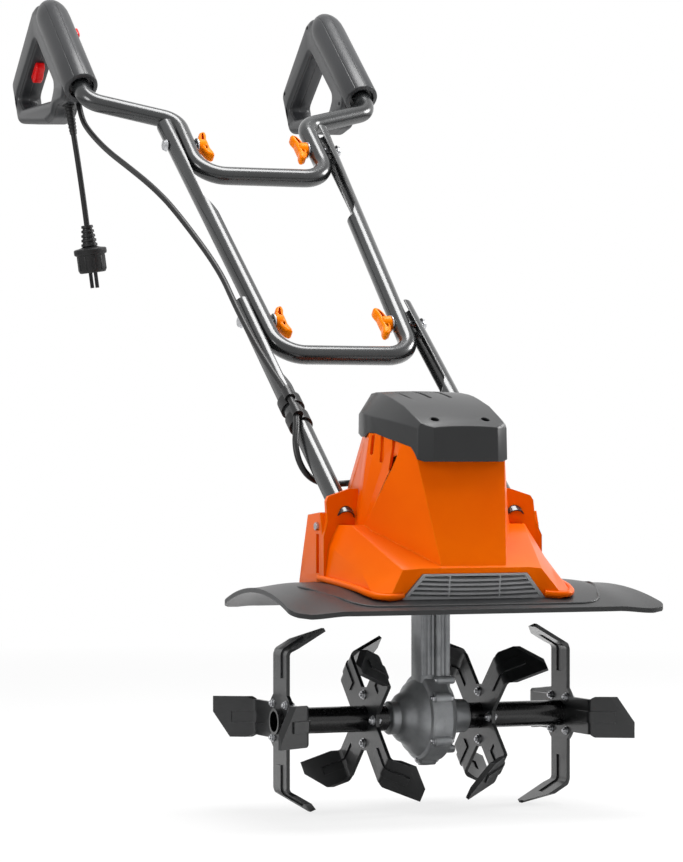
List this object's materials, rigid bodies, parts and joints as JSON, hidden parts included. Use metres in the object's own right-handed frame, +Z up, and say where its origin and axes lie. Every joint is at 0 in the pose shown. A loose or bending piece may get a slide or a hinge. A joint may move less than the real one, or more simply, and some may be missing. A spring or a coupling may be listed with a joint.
{
  "type": "electric tiller",
  "caption": "Corded electric garden tiller with an upright motor, worm gearbox, four-star tine rotor, tine guard and a folding tubular handle with D-shaped grips.",
  "frame": {"origin": "midway between the operator's two hands, on the grips' hand bars", "axes": "+X to the operator's right as they face the machine, along the rotor's axle; +Y from the machine back to the operator; +Z up"},
  "size_m": [0.4286, 1.002, 0.9599],
  "materials": {
    "orange_housing": "satin moulded plastic",
    "orange_knob": "satin moulded plastic",
    "dark_plastic": "fine-grained moulded plastic",
    "grille_plastic": "satin moulded plastic",
    "guard_plastic": "satin moulded plastic",
    "grip_plastic": "fine-grained moulded plastic",
    "tube_paint": "glossy powder coat",
    "gearbox_casting": "die-cast, lightly blasted",
    "tine_paint": "semi-gloss black enamel",
    "axle_paint": "gloss black enamel",
    "shaft_steel": "turned steel",
    "zinc_bolt": "zinc-plated",
    "lead_sheath": "smooth sheath",
    "lead_fitting": "moulded rubber",
    "clip_plastic": "moulded plastic",
    "pin_metal": "nickel plated",
    "red_switch": "satin moulded plastic",
    "motor_metal": "plain block"
  },
  "bodies": {
    "machine": {"motor_cover": "orange_housing", "motor_cap": "dark_plastic", "front_grille": "grille_plastic", "tine_guard": "guard_plastic", "motor_block": "motor_metal", "gearbox_left_half": "gearbox_casting", "gearbox_right_half": "gearbox_casting", "lower_tube_left": "tube_paint", "lower_tube_right": "tube_paint", "socket_bolt_left": "zinc_bolt", "socket_bolt_right": "zinc_bolt", "lower_bolt_left": "zinc_bolt", "lower_bolt_right": "zinc_bolt", "lower_knob_left": "orange_knob", "lower_knob_right": "orange_knob", "lead_clip_lower": "clip_plastic", "lead_clip_upper": "clip_plastic", "motor_lead_lower": "lead_sheath"},
    "middle_handle": {"middle_frame": "tube_paint", "upper_bolt_left": "zinc_bolt", "upper_bolt_right": "zinc_bolt", "upper_knob_left": "orange_knob", "upper_knob_right": "orange_knob"},
    "upper_handle": {"upper_frame": "tube_paint", "grip_left_inner": "grip_plastic", "grip_left_outer": "grip_plastic", "grip_right_inner": "grip_plastic", "grip_right_outer": "grip_plastic", "mains_gland": "lead_fitting", "mains_lead": "lead_sheath", "mains_plug": "lead_fitting", "plug_pins": "pin_metal", "switch_trigger": "red_switch", "lock_button": "red_switch", "motor_lead_upper": "lead_sheath"},
    "rotor": {"output_shaft": "shaft_steel", "axle_tube_left": "axle_paint", "axle_tube_right": "axle_paint", "inner_star_left": "tine_paint", "inner_star_right": "tine_paint", "outer_star_left": "tine_paint", "outer_star_right": "tine_paint"}
  },
  "joints": [
    {"name": "rotor_spin", "type": "hinge", "parent": "machine", "child": "rotor", "pos_m": [0, -0.788, -0.788], "axis": [1, 0, 0], "continuous": true},
    {"name": "lower_fold", "type": "hinge", "parent": "machine", "child": "middle_handle", "pos_m": [0, -0.532, -0.354], "axis": [1, 0, 0], "range_deg": [0, 110], "deforming": ["motor_lead_lower"]},
    {"name": "upper_fold", "type": "hinge", "parent": "middle_handle", "child": "upper_handle", "pos_m": [0, -0.27766, -0.13291], "axis": [1, 0, 0], "range_deg": [0, 150], "deforming": ["motor_lead_upper"]}
  ]
}
